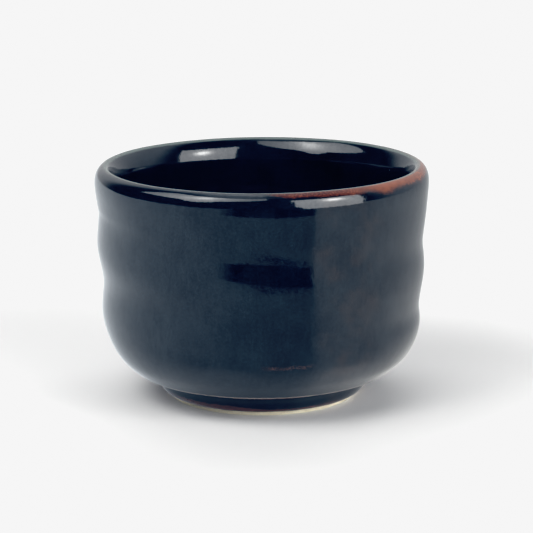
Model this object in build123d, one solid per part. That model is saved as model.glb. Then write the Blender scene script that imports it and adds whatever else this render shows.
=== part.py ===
from build123d import *
import os
from math import cos, hypot, radians, sin

# A tea bowl for whisking powdered tea, in millimetres. +Z is up, the origin is the centre of the
# contact ring under the foot, and -Y is the bowl's front.
#
# The clay is thrown as a deep cup. Two finger grooves run round it a little downhill towards the
# right and the front, so each ring of the wall is a circle on its own tilted plane. The lip slopes
# inward to a narrow mouth. Glaze is a thin coat on the clay: poured inside, dipped outside, run thin
# over the lip, and wiped off the foot's bottom.

# Driving dimensions of the wall
LIP_RADIUS = 58.0          # widest ring of the lip
RIM_HEIGHT = 81.3          # crown of the lip above the table
CROWN_RADIUS = 54.3        # ring at the very top of the lip
LIP_DROP = 5.3             # from the crown down to the widest ring outside
MOUTH_RADIUS = 50.2        # narrowest ring inside, below the sloping lip
MOUTH_HEIGHT = 73.3
SHOULDER_RADIUS = 45.4     # the crisp edge where the wall ends above the foot
SHOULDER_HEIGHT = 9.7
FLOOR_HEIGHT = 14.0        # glazed surface of the tea well at its centre
FLOOR_RADIUS = 7.0         # flat middle of the tea well

# Driving dimensions of the foot
FOOT_HEIGHT = 8.2          # from the table to the clay above the foot ring
FOOT_CONTACT_RADIUS = 33.0
RECESS_RADIUS = 30.0       # inner edge of the contact ring
RECESS_BARE_RADIUS = 29.6  # the recess where its coat starts
RECESS_TOP_RADIUS = 28.4
BARE_HEIGHT = 1.35         # the coats stop this far above the table

# Coats
WALL_GLAZE = 0.40          # thickness on the walls
LIP_GLAZE = 0.20           # it runs thin over the crown
WELL_GLAZE = 0.60          # and pools in the tea well
FOOT_GLAZE = 0.35
GLAZE_ROUNDING = 0.6       # where the recess's coat turns from its side to its roof
RUST_HEIGHT = 77.0         # the lip's rust-coloured coat starts here, inside and out

# The tilted rings run downhill to the right (+X), turned this far towards the front (-Y).
DOWNHILL = 16.0

# Outside rings from the shoulder up to the lip: radius, height, tilt in degrees, lean along X.
OUTER_RINGS = [
    (SHOULDER_RADIUS, SHOULDER_HEIGHT, 0.0, 0.0),
    (48.1, 11.85, 0.1, 0.0),
    (50.9, 14.8, 0.35, 0.0),
    (53.2, 18.7, 0.8, -0.1),
    (54.9, 23.1, 1.5, -0.25),
    (55.85, 28.4, 2.4, -0.4),      # lower swell
    (55.5, 36.0, 4.7, -0.3),       # lower groove
    (56.35, 42.8, 4.9, -0.35),
    (57.3, 49.5, 4.6, -0.4),       # middle swell
    (57.05, 55.0, 4.8, -0.35),
    (56.7, 60.6, 5.1, -0.3),       # upper groove
    (57.1, 65.0, 2.9, -0.1),
    (57.5, 69.0, 1.2, 0.0),
    (57.85, 72.6, 0.3, 0.0),
    (LIP_RADIUS, RIM_HEIGHT - LIP_DROP, 0.0, 0.0),
]

# Inside rings from the crown down to the tea well, in the same form.
INNER_RINGS = [
    (53.55, 81.0, 0.0, 0.0),
    (52.75, 80.2, 0.0, 0.0),
    (51.75, 78.6, 0.0, 0.0),       # the sloping lip
    (50.95, 76.9, 0.0, 0.0),
    (50.45, 75.2, 0.0, 0.0),
    (MOUTH_RADIUS, MOUTH_HEIGHT, 0.1, 0.0),
    (50.3, 70.4, 0.8, 0.0),
    (50.7, 65.6, 2.6, -0.1),
    (51.1, 60.0, 4.2, -0.3),       # back of the upper groove
    (51.7, 54.6, 4.4, -0.35),
    (51.9, 49.0, 4.4, -0.4),
    (51.4, 42.6, 4.4, -0.35),
    (50.5, 36.4, 4.2, -0.3),       # back of the lower groove
    (50.0, 30.4, 2.6, -0.3),
    (48.4, 25.0, 1.4, -0.2),
    (45.0, 20.4, 0.7, 0.0),
    (38.8, 17.1, 0.2, 0.0),
    (29.0, 15.3, 0.0, 0.0),
    (17.0, 14.3, 0.0, 0.0),
    (FLOOR_RADIUS, FLOOR_HEIGHT, 0.0, 0.0),
]

LIP_ANGLES = (60.0, 30.0, 0.0)     # rings round the outside of the lip, measured from the vertical

# Glazed outside of the foot from its bare edge up to the ledge under the wall: radius, height.
FOOT_SIDE = [(33.95, BARE_HEIGHT), (35.3, 2.2), (36.4, 3.6), (37.1, 5.4), (37.5, 7.0), (38.3, 7.95)]


def lip_rings():
    """A quarter ellipse up from the lip's widest ring to its crown."""
    width, widest_height = LIP_RADIUS - CROWN_RADIUS, RIM_HEIGHT - LIP_DROP
    rings = []
    for angle in LIP_ANGLES:
        a = radians(angle)
        rings.append((CROWN_RADIUS + width * sin(a), widest_height + LIP_DROP * cos(a), 0, 0))
    return rings


def coat_thickness(radius, height, inside):
    """Thickness of the coat: thin at the crown, full on the walls, thicker in the tea well."""
    crown_share = max(0.0, 1.0 - (RIM_HEIGHT - height) / (2.0 * LIP_DROP))
    thickness = WALL_GLAZE + (LIP_GLAZE - WALL_GLAZE) * crown_share
    if inside and radius < SHOULDER_RADIUS:
        thickness += (WELL_GLAZE - WALL_GLAZE) * (1.0 - radius / SHOULDER_RADIUS)
    return thickness


def clay_rings(rings, crown_index):
    """The glazed rings moved into the clay by the coat's thickness, square to the wall."""
    last = len(rings) - 1
    moved = []
    for i, (radius, height, tilt, lean) in enumerate(rings):
        before, after = rings[max(i - 1, 0)], rings[min(i + 1, last)]
        along_r, along_z = after[0] - before[0], after[1] - before[1]
        length = hypot(along_r, along_z)
        into_r, into_z = -along_z / length, along_r / length
        if i == 0:
            into_r, into_z = -1.0, 0.0
        if i == last:
            into_r, into_z = 0.0, -1.0
        coat = coat_thickness(radius, height, i > crown_index)
        moved.append((radius + coat * into_r, height + coat * into_z, tilt, lean))
    return moved


def cup(rings):
    """A solid whose one skin climbs the outside, rolls over the lip and goes down to the well."""
    turn = radians(DOWNHILL)
    level = (-sin(turn), -cos(turn), 0.0)
    wires = []
    for radius, height, tilt, lean in rings:
        t = radians(tilt)
        normal = (sin(t) * cos(turn), -sin(t) * sin(turn), cos(t))
        plane = Plane(origin=(lean, 0.0, height), x_dir=level, z_dir=normal)
        wires.append(Wire([Edge.make_circle(radius, plane)]))
    return Solid.make_loft(wires)


def line_through(points):
    """Straight edges through (radius, height) points."""
    ends = [Vector(radius, 0.0, height) for radius, height in points]
    return [Edge.make_line(a, b) for a, b in zip(ends, ends[1:])]


def curve_through(points):
    """One smooth edge through (radius, height) points."""
    return [Edge.make_spline([Vector(radius, 0.0, height) for radius, height in points])]


def turned(edges):
    """The solid of revolution round Z of a closed outline of edges."""
    return revolve(Face(Wire(edges)), Axis.Z)


glazed_rings = OUTER_RINGS + lip_rings() + INNER_RINGS
crown_index = len(OUTER_RINGS) + len(LIP_ANGLES) - 1
glazed_cup = cup(glazed_rings)
clay_cup = cup(clay_rings(glazed_rings, crown_index))

# The coat on the cup, parted at the lip into the rust-coloured lip and the two dark walls.
coat = glazed_cup - clay_cup
part_plane = Plane(origin=(0.0, 0.0, RUST_HEIGHT), z_dir=(0.0, 0.0, 1.0))
rim_glaze = split(coat, bisect_by=part_plane, keep=Keep.TOP)
walls = split(coat, bisect_by=part_plane, keep=Keep.BOTTOM).solids()
outer_glaze = min(walls, key=lambda wall: wall.bounding_box().min.Z)
inner_glaze = max(walls, key=lambda wall: wall.bounding_box().min.Z)

# The clay below the cup: a low cone from the shoulder in to the foot.
clay_shoulder = (SHOULDER_RADIUS - WALL_GLAZE, SHOULDER_HEIGHT)
clay_side = [(radius - FOOT_GLAZE, height) for radius, height in FOOT_SIDE[:-1]]
clay_side.append((FOOT_SIDE[-1][0] - FOOT_GLAZE, FOOT_HEIGHT))
ledge = line_through([clay_side[-1], clay_shoulder])
base = turned(
    line_through([clay_shoulder, (0.0, SHOULDER_HEIGHT), (0.0, FOOT_HEIGHT), clay_side[-1]]) + ledge
)
clay_body = clay_cup + base

# The foot ring, bare where it stands and under its coats above that.
recess_bare = (RECESS_BARE_RADIUS, BARE_HEIGHT)
recess_top = (RECESS_TOP_RADIUS, FOOT_HEIGHT)
contact = [(RECESS_RADIUS, 0.0), (FOOT_CONTACT_RADIUS, 0.0)]
foot_ring = turned(
    line_through([clay_side[-1], recess_top, recess_bare, *contact, clay_side[0]])
    + curve_through(clay_side)
)

# The coat under the ledge and down the outside of the foot.
shoulder_edge = (SHOULDER_RADIUS, SHOULDER_HEIGHT)
under_edge = (SHOULDER_RADIUS - FOOT_GLAZE / 2, SHOULDER_HEIGHT - FOOT_GLAZE)
foot_glaze = turned(
    line_through([clay_shoulder, shoulder_edge, under_edge, FOOT_SIDE[-1]])
    + curve_through(FOOT_SIDE)
    + line_through([FOOT_SIDE[0], clay_side[0]])
    + curve_through(clay_side)
    + ledge
)

# The coat in the recess under the foot: the roof and the inner side of the ring.
roof_height = FOOT_HEIGHT - FOOT_GLAZE
side_radius = RECESS_TOP_RADIUS - FOOT_GLAZE
underfoot_outline = [
    recess_bare,
    recess_top,
    (0.0, FOOT_HEIGHT),
    (0.0, roof_height),
    (side_radius - GLAZE_ROUNDING, roof_height),
    (side_radius, roof_height - GLAZE_ROUNDING),
    (RECESS_BARE_RADIUS - FOOT_GLAZE, BARE_HEIGHT),
    recess_bare,
]
underfoot_glaze = turned(line_through(underfoot_outline))

nodes = {
    "clay_body": clay_body,
    "foot_ring": foot_ring,
    "outer_glaze": outer_glaze,
    "inner_glaze": inner_glaze,
    "rim_glaze": rim_glaze,
    "foot_glaze": foot_glaze,
    "underfoot_glaze": underfoot_glaze,
}

os.makedirs("parts", exist_ok=True)
for name, shape in nodes.items():
    export_step(shape, f"parts/{name}.step")
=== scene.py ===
import math

import bpy
import numpy as np
from mathutils import Matrix, Vector


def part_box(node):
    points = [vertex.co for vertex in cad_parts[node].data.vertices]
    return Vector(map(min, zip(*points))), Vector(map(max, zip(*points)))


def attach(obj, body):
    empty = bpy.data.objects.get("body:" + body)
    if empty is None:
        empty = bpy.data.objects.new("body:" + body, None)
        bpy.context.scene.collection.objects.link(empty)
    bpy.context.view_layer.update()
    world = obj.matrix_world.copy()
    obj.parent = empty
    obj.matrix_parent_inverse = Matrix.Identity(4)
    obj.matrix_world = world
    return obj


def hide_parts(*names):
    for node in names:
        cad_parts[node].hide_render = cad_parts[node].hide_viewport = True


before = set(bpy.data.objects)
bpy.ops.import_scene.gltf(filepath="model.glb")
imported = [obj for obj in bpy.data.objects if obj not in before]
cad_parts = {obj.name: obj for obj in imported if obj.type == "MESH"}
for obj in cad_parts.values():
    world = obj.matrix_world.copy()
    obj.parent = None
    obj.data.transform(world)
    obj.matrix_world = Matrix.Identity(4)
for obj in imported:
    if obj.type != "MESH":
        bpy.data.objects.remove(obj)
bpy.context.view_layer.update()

# The tea bowl's looks. Shapes are worked out in millimetres and become metres when a mesh is made.
# Azimuth 0 is the bowl's front (-Y) and grows towards its right-hand side (+X), in degrees.
# Marks on a coat's points say how far along its section they lie from the crown, the shoulder edge
# and the bare foot, for the materials to use.

MM = 0.001

# ---------------------------------------------------------------- sizes


def lowest(node, axis):
    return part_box(node)[0][axis] / MM


def highest(node, axis):
    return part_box(node)[1][axis] / MM


RIM_HEIGHT = highest("rim_glaze", 2)
RUST_HEIGHT = lowest("rim_glaze", 2)
LIP_RADIUS = highest("outer_glaze", 0)
SHOULDER_RADIUS = highest("foot_glaze", 0)
SHOULDER_HEIGHT = highest("foot_glaze", 2)
BARE_HEIGHT = lowest("foot_glaze", 2)
FOOT_HEIGHT = highest("foot_ring", 2)
FOOT_TOP_RADIUS = highest("foot_ring", 0)
RECESS_EDGE_RADIUS = highest("underfoot_glaze", 0)

LIP_INSET, LIP_DROP = 3.7, 5.3       # from the crown of the lip out and down to its widest ring
CROWN_RADIUS = LIP_RADIUS - LIP_INSET
RECESS_TAPER = 1.2                   # the recess under the foot narrows this much up to its roof
RECESS_TOP_RADIUS = RECESS_EDGE_RADIUS - RECESS_TAPER
CONTACT_INNER, CONTACT_OUTER = 30.0, 33.0

WALL_COAT, LIP_COAT, WELL_COAT, FOOT_COAT = 0.40, 0.20, 0.60, 0.35
BEAD = 0.5               # a coat's bare edge is rounded over this length
BEAD_ROWS = [0, 0.03, 0.08, 0.15, 0.25, 0.4]
COAT_ROUNDING, FOOT_ROUNDING, RECESS_ROUNDING = 0.5, 0.8, 2.4    # how long a corner's curve is
WALL_PITCH, WELL_PITCH, RECESS_PITCH = 2.4, 5.2, 3.1    # between the turns of the potter's lines

# The grooves and swells are shallower or fuller across the front: the height, its reach, how far
# the coat stands out there, and how far that height climbs from the front to the right.
FRONT_RELIEF = [
    (59.4, 3.2, 0.19, -6.8),
    (49.4, 3.5, -0.25, -4.3),
    (35.3, 3.3, 0.31, -0.3),
    (28.4, 3.2, -0.20, 0.0),
]

# Rings of the glazed skin: radius, height, tilt in degrees, lean along X. The tilt runs down to
# the right and, by DOWNHILL, a little to the front.
DOWNHILL = math.radians(16)
WALL_RINGS = [
    (48.1, 11.85, 0.1, 0.0),
    (50.9, 14.8, 0.35, 0.0),
    (53.2, 18.7, 0.8, -0.1),
    (54.9, 23.1, 1.5, -0.25),
    (55.85, 28.4, 2.4, -0.4),      # lower swell
    (55.5, 36.0, 4.7, -0.3),       # lower groove
    (56.35, 42.8, 4.9, -0.35),
    (57.3, 49.5, 4.6, -0.4),       # middle swell
    (57.05, 55.0, 4.8, -0.35),
    (56.7, 60.6, 5.1, -0.3),       # upper groove
    (57.1, 65.0, 2.9, -0.1),
    (57.5, 69.0, 1.2, 0.0),
    (57.85, 72.6, 0.3, 0.0),
]
INSIDE_RINGS = [
    (53.55, 81.0, 0.0, 0.0),       # the lip slopes inward all the way to its narrowest ring
    (52.75, 80.2, 0.0, 0.0),
    (51.75, 78.6, 0.0, 0.0),
    (50.95, 76.9, 0.0, 0.0),
    (50.45, 75.2, 0.0, 0.0),
    (50.2, 73.3, 0.1, 0.0),
    (50.3, 70.4, 0.8, 0.0),
    (50.7, 65.6, 2.6, -0.1),
    (51.1, 60.0, 4.2, -0.3),
    (51.7, 54.6, 4.4, -0.35),
    (51.9, 49.0, 4.4, -0.4),
    (51.4, 42.6, 4.4, -0.35),
    (50.5, 36.4, 4.2, -0.3),
    (50.0, 30.4, 2.6, -0.3),
    (48.4, 25.0, 1.4, -0.2),
    (45.0, 20.4, 0.7, 0.0),
    (38.8, 17.1, 0.2, 0.0),
    (29.0, 15.3, 0.0, 0.0),
    (17.0, 14.3, 0.0, 0.0),
    (7.0, 14.0, 0.0, 0.0),
    (0.0, 13.95, 0.0, 0.0),
]
# The coat on the foot's side, from below its wavy edge up to the ledge under the wall.
FOOT_SIDE = [
    (33.7, 0.75),
    (33.95, 1.35),
    (35.3, 2.2),
    (36.4, 3.6),
    (37.1, 5.4),
    (37.5, 7.0),
    (38.3, 7.95),
]

AROUND = 480             # points in every ring
ROUND = np.arange(AROUND) * 2 * math.pi / AROUND
FINE_STEP = 0.02         # along a section before its rows are picked
HIDDEN_EVERY = 6         # a piece's hidden side has one row for this many in front
FAR_AWAY = 99.0          # marks a coat as far from the crown and from the shoulder edge
POLE_RADIUS = 0.3        # rows stop this close to the axis, and a pole closes the skin


# ---------------------------------------------------------------- curves and noise

def spline(xs, ys):
    """A natural cubic through the points, as a function."""
    xs, ys = np.asarray(xs, float), np.asarray(ys, float)
    n = len(xs)
    gap = np.diff(xs)
    slope = np.diff(ys) / gap
    system, right = np.eye(n), np.zeros(n)
    for i in range(1, n - 1):
        system[i, i - 1:i + 2] = gap[i - 1], 2 * (gap[i - 1] + gap[i]), gap[i]
        right[i] = 6 * (slope[i] - slope[i - 1])
    bend = np.linalg.solve(system, right)

    def at(x):
        i = np.clip(np.searchsorted(xs, x) - 1, 0, n - 2)
        a, b = xs[i + 1] - x, x - xs[i]
        return (
            (bend[i] * a ** 3 + bend[i + 1] * b ** 3) / (6 * gap[i])
            + (ys[i] / gap[i] - bend[i] * gap[i] / 6) * a
            + (ys[i + 1] / gap[i] - bend[i + 1] * gap[i] / 6) * b
        )

    return at


def smooth_step(low, high, x):
    t = np.clip((x - low) / (high - low), 0.0, 1.0)
    return t * t * (3 - 2 * t)


def ripple(seed, along, waves, wavelength):
    """Seamless noise on the skin, about +-1: slanted waves about wavelength mm long."""
    rng = np.random.default_rng(seed)
    total = np.zeros((len(along), AROUND))
    for _ in range(waves):
        direction = rng.uniform(0, math.pi)
        k = 2 * math.pi / (wavelength * rng.uniform(0.7, 1.5))
        turns = round(k * math.cos(direction) * LIP_RADIUS)
        phase = rng.uniform(0, 2 * math.pi)
        total += np.cos(turns * ROUND + k * math.sin(direction) * along[:, None] + phase)
    return total / (1.5 * math.sqrt(waves / 2))


def ring_noise(seed, waves, most_turns):
    """Seamless noise round one ring, within +-1, with up to most_turns waves in the round."""
    rng = np.random.default_rng(seed)
    total = np.zeros(AROUND)
    for turns in rng.integers(2, most_turns, waves):
        total += np.cos(turns * ROUND + rng.uniform(0, 2 * math.pi)) / math.sqrt(turns)
    return total / np.abs(total).max()


def spiral(along, pitch):
    """The line a potter's finger leaves: a wave round and along the skin, within +-1."""
    return np.cos(2 * math.pi * along[:, None] / pitch + ROUND)


# ---------------------------------------------------------------- sections and rings

def lip_rings():
    """A quarter ellipse up from the lip's widest ring to its crown."""
    rings = []
    for angle in (90, 60, 30, 0):
        a = math.radians(angle)
        radius = CROWN_RADIUS + LIP_INSET * math.sin(a)
        rings.append((radius, RIM_HEIGHT - LIP_DROP * (1 - math.cos(a)), 0, 0))
    return rings


def arc_length(section):
    steps = np.diff(section[:, :2], axis=0)
    return np.concatenate([[0], np.cumsum(np.hypot(steps[:, 0], steps[:, 1]))])


def as_rings(points):
    """An array of (radius, height, tilt, lean). Points of (radius, height) make level rings."""
    return np.array([tuple(point) + (0, 0) * (len(point) == 2) for point in points], float)


def smooth_section(points):
    """Fine steps along a smooth curve through the rings."""
    rings = as_rings(points)
    chord = arc_length(rings)
    fine = np.linspace(0, chord[-1], int(chord[-1] / FINE_STEP))
    return np.stack([spline(chord, rings[:, k])(fine) for k in range(4)], 1)


def rows_at(section, places):
    """The section's (radius, height, tilt, lean) at these arc lengths, an array of any shape."""
    length = arc_length(section)
    return np.stack([np.interp(places, length, section[:, k]) for k in range(4)], -1)


def rounded(section, size):
    """The section in even steps, its corners rounded by a moving average size mm long."""
    even = rows_at(section, np.arange(0, arc_length(section)[-1], FINE_STEP))
    half = int(size / FINE_STEP / 2)
    before = 2 * even[0] - even[half:0:-1]
    after = 2 * even[-1] - even[-2:-half - 2:-1]
    padded = np.concatenate([before, even, after])
    window = np.ones(2 * half + 1) / (2 * half + 1)
    return np.stack([np.convolve(padded[:, k], window, "valid") for k in range(4)], 1)


def turn(rows):
    """Points (rows, AROUND, 3) of tilted rings, from (rows, 4) or (rows, AROUND, 4)."""
    if rows.ndim == 2:
        rows = rows[:, None, :]
    radius, height, tilt, lean = np.moveaxis(rows, -1, 0)
    tilt = np.radians(tilt)
    down = radius * np.cos(ROUND) * np.cos(tilt)
    across = radius * np.sin(ROUND)
    x = lean + down * math.cos(DOWNHILL) + across * math.sin(DOWNHILL)
    y = across * math.cos(DOWNHILL) - down * math.sin(DOWNHILL)
    z = height - radius * np.cos(ROUND) * np.sin(tilt)
    return np.stack([x, y, z], -1)


def grid_normals(points):
    """Unit normals of a grid of rings: outward where the rows climb the outside of the bowl."""
    onward = np.gradient(points, axis=0)
    around = np.roll(points, -1, 1) - np.roll(points, 1, 1)
    normal = np.cross(around, onward)
    return normal / np.maximum(np.linalg.norm(normal, axis=2, keepdims=True), 1e-12)


def spread(low, high, step):
    """Places from low to high about step apart, both ends in."""
    return np.linspace(low, high, max(2, round((high - low) / step) + 1))


def hidden_rows(total):
    """Row numbers from 0 to total - 1, about HIDDEN_EVERY apart, both ends in."""
    return np.unique(np.linspace(0, total - 1, max(2, total // HIDDEN_EVERY)).astype(int))


# ---------------------------------------------------------------- meshes

def stitch(first, second):
    """Quads between two rings of vertex numbers."""
    return np.stack([first, np.roll(first, -1), np.roll(second, -1), second], 1)


def fan(ring, pole):
    """Triangles from a ring of vertex numbers to one pole vertex."""
    return np.stack([ring, np.roll(ring, -1), np.full(len(ring), pole)], 1)


def flat_normals(corners):
    """Each quad's own normal, given to all its corners."""
    normal = np.cross(corners[:, 2] - corners[:, 0], corners[:, 3] - corners[:, 1])
    normal /= np.maximum(np.linalg.norm(normal, axis=1, keepdims=True), 1e-12)
    return np.repeat(normal[:, None, :], 4, 1)


def ring_piece(name, front, front_normals, back, marks, through_axis=False):
    """A closed piece whose section runs along its visible rings and returns along its hidden ones.
    Where it goes through the axis both runs end in a pole; otherwise a sharp strip joins them."""
    rows = len(front)
    rings = np.concatenate([front, back[::-1]])
    normals = np.concatenate([front_normals, -grid_normals(back)[::-1]]).reshape(-1, 3)
    points = rings.reshape(-1, 3)
    number = np.arange(len(points)).reshape(len(rings), AROUND)
    smooth = [stitch(number[i], number[i + 1]) for i in range(len(rings) - 1) if i != rows - 1]
    sharp = [stitch(number[-1], number[0])]
    triangles = np.zeros((0, 3), int)
    if through_axis:
        front_pole, back_pole = len(points), len(points) + 1
        triangles = np.concatenate([
            fan(number[rows - 1], front_pole),
            fan(number[rows][::-1], back_pole),
        ])
        facing = front_normals[-1].mean(0)
        points = np.concatenate([points, [front[-1].mean(0), back[-1].mean(0)]])
        normals = np.concatenate([normals, [facing, -facing]])
    else:
        sharp.append(stitch(number[rows - 1], number[rows]))
    smooth, sharp = np.concatenate(smooth), np.concatenate(sharp)
    loops = np.concatenate([smooth.ravel(), sharp.ravel(), triangles.ravel()])
    loop_normals = np.concatenate([
        normals[smooth].reshape(-1, 3),
        flat_normals(points[sharp]).reshape(-1, 3),
        normals[triangles].reshape(-1, 3),
    ])
    sizes = np.concatenate([np.full(len(smooth) + len(sharp), 4), np.full(len(triangles), 3)])

    mesh = bpy.data.meshes.new(name)
    mesh.vertices.add(len(points))
    mesh.vertices.foreach_set("co", (points * MM).astype(np.float32).ravel())
    mesh.loops.add(len(loops))
    mesh.loops.foreach_set("vertex_index", loops.astype(np.int32))
    mesh.polygons.add(len(sizes))
    mesh.polygons.foreach_set("loop_start", (np.cumsum(sizes) - sizes).astype(np.int32))
    mesh.polygons.foreach_set("use_smooth", np.ones(len(sizes), bool))
    mesh.update(calc_edges=True)
    for label, values in marks.items():
        full = np.zeros(len(points), np.float32)
        full[:rows * AROUND] = np.broadcast_to(values, (rows, AROUND)).ravel()
        mesh.attributes.new(label, "FLOAT", "POINT").data.foreach_set("value", full)
    mesh.normals_split_custom_set(loop_normals.tolist())
    piece = bpy.data.objects.new(name, mesh)
    bpy.context.scene.collection.objects.link(piece)
    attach(piece, "root")
    return piece


# ---------------------------------------------------------------- the coat from foot to tea well

def first_place(length, test, after=0.0):
    """The arc length where test first holds, beyond after."""
    return length[np.argmax(test & (length > after))]


def coat_thickness(radius, height, inside):
    """Thin at the crown, full on the walls, thicker in the tea well."""
    crown_share = np.clip(1 - (RIM_HEIGHT - height) / (2 * LIP_DROP), 0, 1)
    pooled = (WELL_COAT - WALL_COAT) * np.clip(1 - radius / SHOULDER_RADIUS, 0, 1)
    return WALL_COAT + (LIP_COAT - WALL_COAT) * crown_share + np.where(inside, pooled, 0)


def edge_bead(above_bare):
    """The share of its thickness that a coat has reached, rounded off at its bare edge."""
    return np.sqrt(1 - (1 - np.clip(above_bare / BEAD + 0.02, 0, 1)) ** 2)


def front_relief(height):
    """How far the grooves and swells stand out across the front, at these points' heights."""
    ahead = ROUND - DOWNHILL + math.pi / 2       # 0 at the front, growing towards the right
    relief = sum(
        out * np.exp(-((height - middle - climb * np.sin(ahead)) / reach) ** 2)
        for middle, reach, out, climb in FRONT_RELIEF
    )
    return relief * np.clip(np.cos(ahead), 0, 1) ** 2


def coat_detail(place, height, point_height, crown_place):
    """How far the coat stands off its smooth skin: the front's relief, the potter's lines, the
    glaze's waves and an uneven lip."""
    outside = place < crown_place
    wall_lines = smooth_step(15, 22, height) * (1 - smooth_step(66, 74, height)) * outside
    well_lines = (1 - smooth_step(56, 66, height)) * ~outside
    depth = 0.5 + 0.5 * ripple(21, place, 10, 24)
    lip = 1 - smooth_step(1.5, 6.0, np.abs(place - crown_place))
    return (
        front_relief(point_height) * outside[:, None]
        + 0.002 * wall_lines[:, None] * spiral(height, WALL_PITCH) * depth
        + 0.05 * well_lines[:, None] * spiral(place, WELL_PITCH)
        + 0.03 * ripple(22, place, 14, 34)
        + 0.003 * ripple(23, place, 24, 5)
        + 0.06 * lip[:, None] * ring_noise(24, 8, 9)
    )


def make_coat():
    """The four visible coats as one skin, cut into pieces that share their edges and normals."""
    shoulder_ring = [(SHOULDER_RADIUS, SHOULDER_HEIGHT)]
    skin = np.concatenate([
        smooth_section(FOOT_SIDE),
        smooth_section(shoulder_ring + WALL_RINGS + lip_rings() + INSIDE_RINGS),
    ])
    skin[:, 0] = np.maximum(skin[:, 0], 0)
    skin = rounded(skin, COAT_ROUNDING)
    length = arc_length(skin)
    crown = length[np.argmax(skin[:, 1])]
    bare = first_place(length, skin[:, 1] > BARE_HEIGHT)
    shoulder = first_place(length, skin[:, 1] > SHOULDER_HEIGHT)
    rust = first_place(length, skin[:, 1] > RUST_HEIGHT)
    rust_inside = first_place(length, skin[:, 1] < RUST_HEIGHT, after=crown)
    last = first_place(length, skin[:, 0] < POLE_RADIUS, after=crown)

    # Rows are close together at the bare edge, at the shoulder edge and over the lip.
    climb = shoulder - bare
    foot = [BEAD_ROWS, spread(0.6, climb - 0.7, 0.4), spread(climb - 0.6, climb, 0.1)]
    wall = [spread(shoulder, shoulder + 0.7, 0.1), spread(shoulder + 1.0, rust, 0.5)]
    runs = [
        np.concatenate(foot) + bare,
        np.concatenate(wall),
        spread(rust, rust_inside, 0.26),
        spread(rust_inside, last, 0.62),
    ]
    ends = np.cumsum([0] + [len(run) - 1 for run in runs])
    place = np.concatenate([runs[0]] + [run[1:] for run in runs[1:]])

    # The foot's coat ends in a wavy line, so its rows start at a different place in each column.
    edge = 0.3 + 0.24 * ring_noise(31, 16, 34) + 0.12 * ring_noise(32, 30, 120)
    pull = np.clip((shoulder - place) / climb, 0, 1)
    rows = rows_at(skin, place[:, None] + pull[:, None] * edge)
    smooth = turn(rows)
    normals = grid_normals(smooth)

    above_bare = place - bare
    radius, height = rows[:, 0, 0], rows[:, 0, 1]        # the same in every column above the foot
    thickness = coat_thickness(radius, height, place > crown)
    thickness[place < shoulder] = FOOT_COAT
    swell = 0.10 * np.exp(-((above_bare - 0.9) / 0.6) ** 2)
    fade_in = np.clip(above_bare / 2, 0, 1)[:, None]
    stand_off = coat_detail(place, height, smooth[..., 2], crown) * fade_in
    stand_off += (swell - thickness * (1 - edge_bead(above_bare)))[:, None]
    front = smooth + normals * stand_off[..., None]
    back = smooth - normals * thickness[:, None, None]
    front_normals = grid_normals(front)

    cuts = [
        ("foot_coat", "foot_glaze", "dark_glaze"),
        ("wall_coat", "outer_glaze", "dark_glaze"),
        ("lip_coat", "rim_glaze", "rust_glaze"),
        ("inside_coat", "inner_glaze", "dark_glaze"),
    ]
    pieces = []
    for (name, node, slot), first, final in zip(cuts, ends, ends[1:]):
        part = slice(first, final + 1)
        hidden = back[part][hidden_rows(final + 1 - first)]
        marks = {
            "below_crown": (crown - place[part])[:, None],
            "above_shoulder": (place[part] - shoulder)[:, None],
            "above_bare": above_bare[part][:, None],
        }
        through_axis = name == "inside_coat"
        piece = ring_piece(name, front[part], front_normals[part], hidden, marks, through_axis)
        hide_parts(node)
        pieces.append(piece)
    return pieces


# ---------------------------------------------------------------- the foot

def make_foot_clay():
    """The bare foot ring: recess side, rounded contact ring, outer side up to under the wall."""
    outer = [(radius - FOOT_COAT, height) for radius, height in FOOT_SIDE[1:-1]]
    outer.append((FOOT_TOP_RADIUS, FOOT_HEIGHT))
    inner = [
        (RECESS_TOP_RADIUS, FOOT_HEIGHT),
        (RECESS_EDGE_RADIUS, BARE_HEIGHT),
        (CONTACT_INNER, 0),
        (CONTACT_OUTER, 0),
    ]
    section = rounded(np.concatenate([as_rings(inner), smooth_section(outer)]), FOOT_ROUNDING)
    section[:, 1] = np.maximum(section[:, 1], 0)
    place = spread(0.0, arc_length(section)[-1], 0.28)
    rows = rows_at(section, place)
    smooth = turn(rows)
    bare_share = 1 - smooth_step(BARE_HEIGHT - 0.3, BARE_HEIGHT, rows[:, 1])
    off_table = smooth_step(0.0, 0.25, rows[:, 1])
    grain = 0.03 * ripple(41, place, 24, 2.6) + 0.03 * ripple(42, place, 16, 9)
    grain *= (bare_share * off_table)[:, None]
    front = smooth + grid_normals(smooth) * grain[..., None]
    top = [(RECESS_TOP_RADIUS + 0.5, FOOT_HEIGHT), (FOOT_TOP_RADIUS - 0.5, FOOT_HEIGHT)]
    marks = {"height": rows[:, 1][:, None]}
    piece = ring_piece("foot_clay", front, grid_normals(front), turn(as_rings(top)), marks)
    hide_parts("foot_ring")
    return piece


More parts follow.
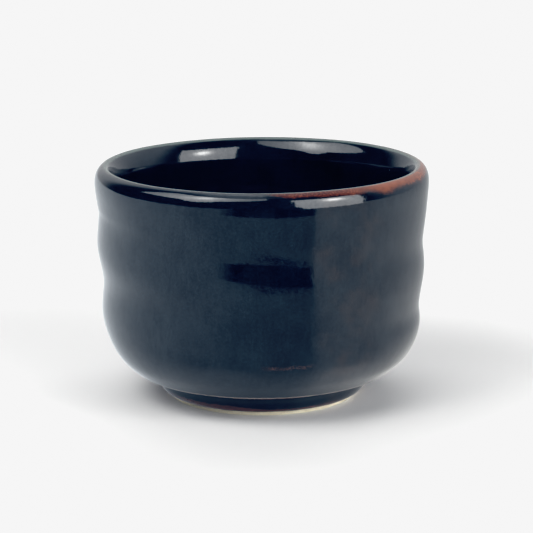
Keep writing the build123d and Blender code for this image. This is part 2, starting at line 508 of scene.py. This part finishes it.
def make_underfoot():
    """The coat in the recess: a wavy edge on the ring's inner side, then the turned roof."""
    roof = FOOT_HEIGHT - FOOT_COAT
    side = RECESS_EDGE_RADIUS - FOOT_COAT
    outline = [(side + 0.12, BARE_HEIGHT - 0.6), (RECESS_TOP_RADIUS - 0.2, roof), (0, roof)]
    section = rounded(as_rings(outline), RECESS_ROUNDING)
    section[:, 0] = np.maximum(section[:, 0], 0)
    length = arc_length(section)
    bare = first_place(length, section[:, 1] > BARE_HEIGHT)
    last = first_place(length, section[:, 0] < POLE_RADIUS)
    place = np.concatenate([BEAD_ROWS, spread(0.6, last - bare, 0.5)]) + bare
    edge = 0.22 * ring_noise(51, 16, 30) + 0.10 * ring_noise(52, 30, 110)
    pull = np.clip(1 - (place - bare) / 4, 0, 1)
    smooth = turn(rows_at(section, place[:, None] + pull[:, None] * edge))[:, ::-1]
    normals = grid_normals(smooth)
    above_bare = place - bare
    turning = 0.05 * spiral(place, RECESS_PITCH) + 0.05 * ripple(53, place, 14, 22)
    stand_off = turning * np.clip(above_bare / 2, 0, 1)[:, None]
    stand_off -= FOOT_COAT * (1 - edge_bead(above_bare))[:, None]
    front = smooth + normals * stand_off[..., None]
    back = (smooth - normals * FOOT_COAT)[hidden_rows(len(place))]
    marks = {
        "below_crown": FAR_AWAY,
        "above_shoulder": -FAR_AWAY,
        "above_bare": above_bare[:, None],
    }
    piece = ring_piece("underfoot_coat", front, grid_normals(front), back, marks, through_axis=True)
    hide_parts("underfoot_glaze")
    return piece


coats = make_coat() + [make_underfoot()]
foot_clay = make_foot_clay()


# ---------------------------------------------------------------- materials

DEGREES = 180 / math.pi


class Tree:
    """Short calls for building a node tree. Shapes in it are measured in millimetres."""

    def __init__(self, tree):
        self.nodes, self.links = tree.nodes, tree.links
        self.nodes.clear()

    def node(self, kind, inputs=(), **settings):
        made = self.nodes.new(kind)
        for key, value in settings.items():
            setattr(made, key, value)
        for key, value in dict(inputs).items():
            if isinstance(value, bpy.types.NodeSocket):
                self.links.new(value, made.inputs[key])
            else:
                made.inputs[key].default_value = value
        return made

    def math(self, operation, a, b=0.0):
        return self.node("ShaderNodeMath", {0: a, 1: b}, operation=operation).outputs[0]

    def add(self, a, b):
        return self.math("ADD", a, b)

    def minus(self, a, b):
        return self.math("SUBTRACT", a, b)

    def times(self, a, b):
        return self.math("MULTIPLY", a, b)

    def over(self, a, b):
        return self.math("DIVIDE", a, b)

    def length(self, a, b):
        return self.math("SQRT", self.add(self.times(a, a), self.times(b, b)))

    def step(self, low, high, value):
        """0 below low, 1 above high, smooth between."""
        ends = {"Value": value, "From Min": low, "From Max": high}
        return self.node("ShaderNodeMapRange", ends, interpolation_type="SMOOTHSTEP").outputs[0]

    def window(self, low, high, soft, value):
        """1 between low and high, fading over soft on both sides."""
        rise = self.step(low - soft, low + soft, value)
        fall = self.step(high + soft, high - soft, value)
        return self.times(rise, fall)

    def bell(self, centre, width, value):
        """1 at centre, falling to almost nothing width away."""
        return self.step(width, 0.0, self.math("ABSOLUTE", self.minus(value, centre)))

    def mark(self, name):
        return self.node("ShaderNodeAttribute", attribute_name=name).outputs["Fac"]

    def place(self, stretch=(1, 1, 1)):
        """Position on the object in millimetres, divided by stretch."""
        position = self.node("ShaderNodeTexCoord").outputs["Object"]
        inputs = {0: position, 1: [1 / MM / s for s in stretch]}
        return self.node("ShaderNodeVectorMath", inputs, operation="MULTIPLY").outputs[0]

    def moved(self, vector, shift):
        return self.node("ShaderNodeVectorMath", {0: vector, 1: shift}, operation="ADD").outputs[0]

    def parts(self, vector):
        return self.node("ShaderNodeSeparateXYZ", {0: vector}).outputs

    def noise(self, size, detail=2.0, roughness=0.5, stretch=(1, 1, 1), offset=0.0):
        """Soft noise from 0 to 1 with features about size mm wide."""
        vector = self.place(stretch)
        if offset:
            vector = self.moved(vector, (offset,) * 3)
        inputs = {"Vector": vector, "Scale": 1 / size, "Detail": detail, "Roughness": roughness}
        return self.node("ShaderNodeTexNoise", inputs).outputs["Fac"]

    def specks(self, spacing, size, share):
        """1 inside round specks of about size mm, in share of the cells spacing mm apart."""
        cells = self.node("ShaderNodeTexVoronoi", {"Vector": self.place(), "Scale": 1 / spacing})
        chosen = self.node("ShaderNodeSeparateColor", {0: cells.outputs["Color"]})
        near = self.step(size / spacing, 0.5 * size / spacing, cells.outputs["Distance"])
        return self.times(near, self.math("LESS_THAN", chosen.outputs[0], share))

    def mix(self, share, a, b):
        """Between two colours."""
        inputs = {"Factor": share, 6: colour(a), 7: colour(b)}
        return self.node("ShaderNodeMix", inputs, data_type="RGBA").outputs[2]

    def blend(self, share, a, b):
        """Between two numbers."""
        return self.node("ShaderNodeMix", {"Factor": share, 2: a, 3: b}).outputs[0]

    def azimuth_elevation(self, vector):
        """Degrees round from the front towards the right, and up from level."""
        x, y, z = self.parts(vector)
        azimuth = self.math("ARCTAN2", x, self.times(y, -1.0))
        elevation = self.math("ARCTAN2", z, self.length(x, y))
        return self.times(azimuth, DEGREES), self.times(elevation, DEGREES)

    def surface(self, base, roughness, height=None, depth=0.0, specular=0.5):
        """A principled shader, with a bump whose height of 1 stands depth mm high."""
        inputs = {"Base Color": base, "Roughness": roughness, "Specular IOR Level": specular}
        if height is not None:
            bump = {"Strength": 1.0, "Distance": depth * MM, "Height": height}
            inputs["Normal"] = self.node("ShaderNodeBump", bump).outputs[0]
        return self.node("ShaderNodeBsdfPrincipled", inputs)

    def output(self, shader, kind="ShaderNodeOutputMaterial"):
        self.node(kind, {0: shader.outputs[0]})


def colour(value):
    return (*value, 1.0) if isinstance(value, tuple) and len(value) == 3 else value


def new_material(name):
    material = bpy.data.materials.new(name)
    material.use_nodes = True
    return material, Tree(material.node_tree)


NAVY_DEEP = (0.0014, 0.0030, 0.0048)
NAVY = (0.0042, 0.0080, 0.0112)
RUST = (0.180, 0.056, 0.025)
RUST_DARK = (0.105, 0.030, 0.014)
RUST_DEEP = (0.050, 0.012, 0.007)
RUST_SPECKLE = (0.125, 0.036, 0.017)
EDGE_BROWN = (0.480, 0.385, 0.330)
FOOT_BROWN = (0.080, 0.031, 0.024)
IRON = (0.020, 0.014, 0.011)
RUN_RED = (0.130, 0.065, 0.048)
# pale crown colour: thin coat, and partly a painted highlight standing for the ceiling's reflection
CROWN_GREY_AND_HIGHLIGHT = (0.085, 0.110, 0.100)
SPECK = (0.16, 0.16, 0.13)
CREAM_DEEP = (0.80, 0.74, 0.55)
CREAM = (0.95, 0.90, 0.72)
CLAY_SPECK = (0.16, 0.11, 0.07)
TOASTED = (0.33, 0.20, 0.11)

# From and to these azimuths, in degrees
IRON_CLOUDS = 17, 44
RED_RUN, RED_RUN_HEIGHT = (1, 17), 23.5
RUST_FRONT, RUST_SIDE = (4, 34), (34, 118)
WIDE_STAIN = -85, -8     # where the foot's brown edge is wide


def add_iron_clouds(t, body, azimuth):
    """Faint clouds of iron right of the front."""
    clouds = t.step(0.42, 0.72, t.noise(9, 4, 0.6, offset=40))
    iron = t.times(t.window(*IRON_CLOUDS, 5, azimuth), clouds)
    return t.mix(t.times(iron, 0.6), body, IRON)


def add_red_run(t, body, azimuth, fine):
    """A speckled reddish run low on the front."""
    wavy_height = t.add(t.parts(t.place())[2], t.times(t.noise(6, 2), 1.5))
    run = t.times(t.window(*RED_RUN, 3, azimuth), t.bell(RED_RUN_HEIGHT, 1.1, wavy_height))
    return t.mix(t.times(run, t.times(t.step(0.42, 0.66, fine), 0.5)), body, RUN_RED)


def add_rust(t, body, azimuth, below_crown):
    """Rust over the lip: wide on the right, dark at the front, a thin line at the left and back.
    Also gives the rust's share, which is duller than the glaze."""
    side = t.window(*RUST_SIDE, 14, azimuth)
    front = t.window(*RUST_FRONT, 5, azimuth)
    ragged = t.add(t.noise(2.6, 4, 0.6), t.times(t.noise(9, 2), 0.8))
    reach = t.add(t.add(0.6, t.times(side, 2.9)), t.times(front, 2.0))
    reach = t.add(reach, t.times(t.minus(ragged, 0.9), t.blend(side, 1.6, 2.4)))
    past_edge = t.over(t.minus(below_crown, reach), t.blend(side, 0.4, 1.3))
    rust = t.times(t.step(1, -1, past_edge), t.step(-1.2, -0.2, below_crown))

    tone = t.step(0.15, 0.62, t.noise(2.4, 4, 0.5, offset=7))
    speckles = t.step(0.48, 0.60, t.noise(0.6, 3, 0.6, offset=3))
    speckled = t.mix(speckles, RUST_DEEP, RUST_SPECKLE)
    warm = t.mix(side, speckled, t.mix(tone, RUST_DARK, RUST))
    strength = t.blend(t.add(side, front), 0.3, 0.95)
    return t.mix(t.times(rust, strength), body, warm), rust


def add_thin_edges(t, body, azimuth, below_crown):
    """Where the coat is drawn thin: pale on the crown (partly a painted highlight) and the shoulder
    edge, brown on the foot.
    """
    # pale crown line: thin coat, and partly a painted highlight of the ceiling's reflection
    crown = t.times(t.window(-1.5, 0.5, 0.35, below_crown), t.step(0.15, 0.45, t.noise(3, 3)))
    body = t.mix(t.times(crown, 0.8), body, CROWN_GREY_AND_HIGHLIGHT)

    edge = t.bell(0.15, 0.75, t.mark("above_shoulder"))
    edge = t.times(edge, t.step(0.15, 0.5, t.noise(5, 3)))
    body = t.mix(t.times(edge, 0.9), body, EDGE_BROWN)

    stained = t.add(0.35, t.times(t.window(*WIDE_STAIN, 16, azimuth), 1.3))
    from_edge = t.minus(t.mark("above_bare"), t.add(stained, t.noise(1.5, 3)))
    return t.mix(t.step(2.0, 1.1, from_edge), body, FOOT_BROWN)


def glaze_material():
    """Blue-black glaze that breaks to rust on the lip and to brown on the shoulder and foot."""
    material, t = new_material("dark_glaze")
    azimuth, _ = t.azimuth_elevation(t.place())
    below_crown = t.mark("below_crown")
    streaks = t.noise(1.3, 4, 0.65, stretch=(1, 1, 5))
    clouds = t.noise(13, 4, 0.6)
    fine = t.noise(0.45, 3, 0.65)
    grain = t.noise(0.7, 4, 0.65, offset=20)
    mottle = t.add(t.add(t.times(streaks, 0.22), t.times(clouds, 0.36)), t.times(grain, 0.42))

    body = t.mix(t.step(0.40, 0.62, mottle), NAVY_DEEP, NAVY)
    body = add_iron_clouds(t, body, azimuth)
    body = add_red_run(t, body, azimuth, fine)
    body, rust = add_rust(t, body, azimuth, below_crown)
    body = add_thin_edges(t, body, azimuth, below_crown)
    body = t.mix(t.specks(9, 0.34, 0.10), body, SPECK)

    roughness = t.add(0.055, t.times(t.step(0.35, 0.7, clouds), 0.03))
    roughness = t.blend(rust, roughness, 0.16)
    swirl = t.noise(1.3, 2, stretch=(1, 1, 1.6))
    hammered = t.add(t.times(swirl, 0.6), t.times(fine, 0.12))
    shine = t.blend(t.step(0.35, 0.65, mottle), 0.44, 0.60)
    shine = t.blend(t.times(rust, 0.6), shine, 0.1)
    t.output(t.surface(body, roughness, hammered, 0.03, shine))
    return material


def clay_material():
    """Bare stoneware: cream, dry and fine grained, toasted where it meets the glaze."""
    material, t = new_material("stoneware")
    tone = t.add(t.times(t.noise(6, 4, 0.6), 0.6), t.times(t.noise(0.5, 3), 0.4))
    body = t.mix(t.step(0.35, 0.7, tone), CREAM_DEEP, CREAM)
    body = t.mix(t.specks(1.6, 0.14, 0.35), body, CLAY_SPECK)
    toasted = t.times(t.step(0.7, 1.6, t.mark("height")), t.step(0.3, 0.7, t.noise(4, 3)))
    body = t.mix(t.times(toasted, 0.6), body, TOASTED)
    grain = t.add(t.noise(0.35, 4, 0.7), t.times(t.noise(1.8, 3), 0.8))
    roughness = t.add(0.78, t.times(t.noise(0.8), 0.15))
    t.output(t.surface(body, roughness, grain, 0.05))
    return material


glaze, clay = glaze_material(), clay_material()
for piece in coats:
    piece.data.materials.append(glaze)
foot_clay.data.materials.append(clay)
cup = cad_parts["clay_body"]
cup.data.materials.clear()
cup.data.materials.append(clay)


# ---------------------------------------------------------------- the studio

BACKDROP = 1.5           # so bright that it prints as plain white
TABLE_REACH = 6000       # from the bowl to each side of the table
TABLE_WHITE = 0.718      # how much light the sheet returns
DARK_REFLECTION_FRONT = -266       # the table's painted reflection turns dark beyond here, in front of the bowl
WARM_WHITE, COOL_WHITE = (1.0, 0.99, 0.96), (0.94, 1.0, 1.05)
LIGHT_DISTANCE = 1500    # from the middle of the rim to the soft boxes
PANEL_COLUMNS = 49

# Each panel's lower and upper edges, as (azimuth, elevation) in degrees seen from the rim.
LEFT_LIGHT = [
    [(-98, 29), (-60, 29), (-51, 21.5), (-42, 22), (-30, 36), (0, 50), (4, 53)],
    [(-98, 58), (4, 66)],
]
RIGHT_LIGHT = [
    [(22, 7), (30, -4.5), (70, -4.5)],
    [(22, 45), (30, 44), (77, 37.5)],
]
TOP_FILL = [
    [(-180, 62), (180, 62)],
    [(-180, 89), (180, 89)],
]
BACK_FILL = [
    [(125, 34), (235, 34)],
    [(125, 62), (235, 62)],
]

# Brighter places in a panel: azimuth, elevation, size, strength.
LEFT_GLOWS = [(-52, 46, 30, 3.6), (-50, 49.5, 10, 7.0)]
RIGHT_GLOWS = [(50, 25, 25, 1.6), (52, 28, 6.5, 20.0)]
RIGHT_FILL_GLOWS = [(50, 25, 25, 1.3), (52, 28, 6.5, 16.4)]


def add_to_stage(name, points, faces, material):
    """An object of the studio, from points in millimetres."""
    mesh = bpy.data.meshes.new(name)
    mesh.from_pydata([tuple(c * MM for c in point) for point in points], [], faces)
    mesh.materials.append(material)
    stage = bpy.data.objects.new(name, mesh)
    bpy.context.scene.collection.objects.link(stage)
    return stage


def painted_table_reflection(t, x, y, away, azimuth):
    """A painted reflection of the table for the glaze, glowing in place of the lit table: brighter
    at the left and right than in front, dark beyond a line in front of the bowl, and darkened close
    under the bowl as painted shade."""
    left = t.math("COSINE", t.times(t.add(azimuth, 105), 1 / DEGREES))
    left = t.add(0.5, t.times(0.5, left))
    # how far right of a slanting line in front, where the painted reflection's brighter right side
    # begins
    across = t.minus(t.minus(x, 17.4), t.times(t.add(y, 54), -0.72))
    right = t.times(t.step(-8, 20, across), t.window(10, 122, 40, azimuth))
    # painted shade: the reflection at the sides is dimmer close to the bowl
    aside = t.times(t.times(left, left), t.blend(t.step(70, 130, away), 0.6, 0.86))
    glow = t.add(t.add(0.56, aside), t.times(right, 0.57))

    # the painted reflection turns dark beyond a line in front of the bowl
    past_front = t.step(DARK_REFLECTION_FRONT + 1, DARK_REFLECTION_FRONT - 1, t.add(y, t.times(x, -0.2)))
    past_front = t.times(t.times(past_front, t.step(4, -4, across)), t.step(-29, -15, azimuth))
    dark = t.times(past_front, t.blend(t.window(-12, 8, 4, azimuth), 1.0, 0.85))
    # painted shade close under the bowl, and a painted brighter band by the foot in front
    by_the_foot = t.times(t.window(50, 68, 8, away), t.window(-50, 60, 20, azimuth))
    near = t.add(t.blend(t.step(38, 50, away), 0.45, 1.0), t.times(by_the_foot, 0.4))

    glow = t.times(t.times(glow, t.minus(1.0, dark)), near)
    tint = t.mix(left, WARM_WHITE, COOL_WHITE)
    return t.node("ShaderNodeEmission", {"Color": tint, "Strength": glow})


def make_table():
    """A wide white table top, paper white far away; glossy rays see a painted reflection glowing in
    its place.
    """
    material, t = new_material("table")
    place = t.place()
    x, y, _ = t.parts(place)
    azimuth, _ = t.azimuth_elevation(place)
    away = t.length(x, y)
    white = t.node("ShaderNodeCombineColor", dict.fromkeys(range(3), TABLE_WHITE)).outputs[0]
    lit = t.surface(white, 0.9, specular=0.0)
    far_glow = t.times(t.add(t.step(140, 1500, away), t.step(500, 2500, away)), 0.8)
    t.links.new(white, lit.inputs["Emission Color"])
    t.links.new(far_glow, lit.inputs["Emission Strength"])
    painted_reflection = painted_table_reflection(t, x, y, away, azimuth)
    # glossy rays see the painted reflection in place of the lit table
    glossy = t.node("ShaderNodeLightPath").outputs["Is Glossy Ray"]
    shaders = {0: glossy, 1: lit.outputs[0], 2: painted_reflection.outputs[0]}
    t.output(t.node("ShaderNodeMixShader", shaders))
    r = TABLE_REACH
    corners = [(-r, -r, 0), (r, -r, 0), (r, r, 0), (-r, r, 0)]
    add_to_stage("table", corners, [(0, 1, 2, 3)], material)


def make_softbox(name, edges, level, glows=()):
    """A light panel between its two edges, with an even level and brighter places in it."""
    material, t = new_material(name)
    azimuth, elevation = t.azimuth_elevation(t.moved(t.place(), (0, 0, -RIM_HEIGHT)))
    strength = level
    for glow_azimuth, glow_elevation, size, peak in glows:
        across = t.over(t.minus(azimuth, glow_azimuth), size)
        up = t.over(t.minus(elevation, glow_elevation), size)
        fall = t.math("EXPONENT", t.times(-1.0, t.add(t.times(across, across), t.times(up, up))))
        strength = t.add(strength, t.times(fall, peak))
    t.output(t.node("ShaderNodeEmission", {"Color": (1, 1, 1, 1), "Strength": strength}))

    share = np.linspace(0, 1, PANEL_COLUMNS)
    points = []
    for edge in edges:
        edge = np.array(edge, float)
        along = (edge[:, 0] - edge[0, 0]) / (edge[-1, 0] - edge[0, 0])
        a, e = (np.radians(np.interp(share, along, edge[:, k])) for k in range(2))
        seen = np.stack([np.sin(a) * np.cos(e), -np.cos(a) * np.cos(e), np.sin(e)], 1)
        points += [tuple(point) for point in seen * LIGHT_DISTANCE + (0, 0, RIM_HEIGHT)]
    n = PANEL_COLUMNS
    faces = [(i, i + 1, n + i + 1, n + i) for i in range(n - 1)]
    panel = add_to_stage(name, points, faces, material)
    panel.visible_camera = panel.visible_shadow = False
    return panel


def make_world():
    """A white backdrop. The glaze sees a dark room in front and at the left, pale walls behind and
    a bright ceiling."""
    world = bpy.data.worlds.new("studio")
    world.use_nodes = True
    bpy.context.scene.world = world
    world.cycles_visibility.diffuse = False
    t = Tree(world.node_tree)
    azimuth, elevation = t.azimuth_elevation(t.node("ShaderNodeTexCoord").outputs["Generated"])
    room = t.window(-132, 90, 12, azimuth)
    walls = t.times(t.minus(1.0, room), t.add(0.7, t.times(t.step(0, 50, elevation), 0.6)))
    ceiling = t.times(t.step(60, 75, elevation), t.blend(t.step(-10, 20, azimuth), 1.2, 0.35))
    light = t.add(t.add(walls, ceiling), 0.04)
    light = t.blend(t.node("ShaderNodeLightPath").outputs["Is Camera Ray"], light, BACKDROP)
    background = t.node("ShaderNodeBackground", {"Color": (1, 1, 1, 1), "Strength": light})
    t.output(background, "ShaderNodeOutputWorld")


# How each channel prints: points of (light, printed brightness), up to the printed white.
PRINTED_WHITE = (1.0, 0.92)
RED_TOE = [
    (0, 0.0004),
    (0.0045, 0.0012),
    (0.018, 0.0035),
    (0.034, 0.0100),
    (0.060, 0.0340),
    (0.12, 0.094),
]
GREEN_TOE = [
    (0, 0.0006),
    (0.0085, 0.0024),
    (0.020, 0.0075),
    (0.037, 0.0222),
    (0.060, 0.0446),
    (0.12, 0.104),
]
BLUE_TOE = [(0, 0.0008), (0.12, 0.12)]


def set_grade():
    """A bright print: whites held at paper white, reds and greens with a deep toe."""
    view = bpy.context.scene.view_settings
    view.view_transform = "Standard"
    view.use_curve_mapping = True
    curves = view.curve_mapping
    curves.extend = "HORIZONTAL"
    for channel, toe in zip(curves.curves, (RED_TOE, GREEN_TOE, BLUE_TOE)):
        channel.points[0].location = toe[0]
        channel.points[1].location = PRINTED_WHITE
        for place in toe[1:]:
            channel.points.new(*place)
        for point in channel.points:
            point.handle_type = "VECTOR"
    curves.update()


def make_camera():
    """The camera stands six bowls away in front and looks down on it a little."""
    back, up = 718.9, 211.9
    down, right, roll = math.radians(13.11), math.radians(0.12), math.radians(-0.31)
    level = math.cos(down)
    look = Vector((math.sin(right) * level, math.cos(right) * level, -math.sin(down)))
    data = bpy.data.cameras.new("camera")
    data.sensor_width, data.lens = 36.0, 142.0
    data.clip_start, data.clip_end = 0.05, 20.0
    camera = bpy.data.objects.new("camera", data)
    turned = look.to_track_quat("-Z", "Y").to_matrix().to_4x4() @ Matrix.Rotation(roll, 4, "Z")
    camera.matrix_world = Matrix.Translation(Vector((0, -back, up)) * MM) @ turned
    bpy.context.scene.collection.objects.link(camera)
    bpy.context.scene.camera = camera


# The panels that the glaze mirrors and the panels that light the table are set apart: the right one
# is there twice, once for each, and the other fills are never mirrored.
make_table()
make_softbox("left_light", LEFT_LIGHT, 2.6, LEFT_GLOWS)
make_softbox("right_light", RIGHT_LIGHT, 4.4, RIGHT_GLOWS).visible_diffuse = False
for fill in (
    make_softbox("right_fill", RIGHT_LIGHT, 3.6, RIGHT_FILL_GLOWS),
    make_softbox("top_fill", TOP_FILL, 0.65),
    make_softbox("back_fill", BACK_FILL, 3.5),
):
    fill.visible_glossy = False
make_world()
make_camera()
set_grade()
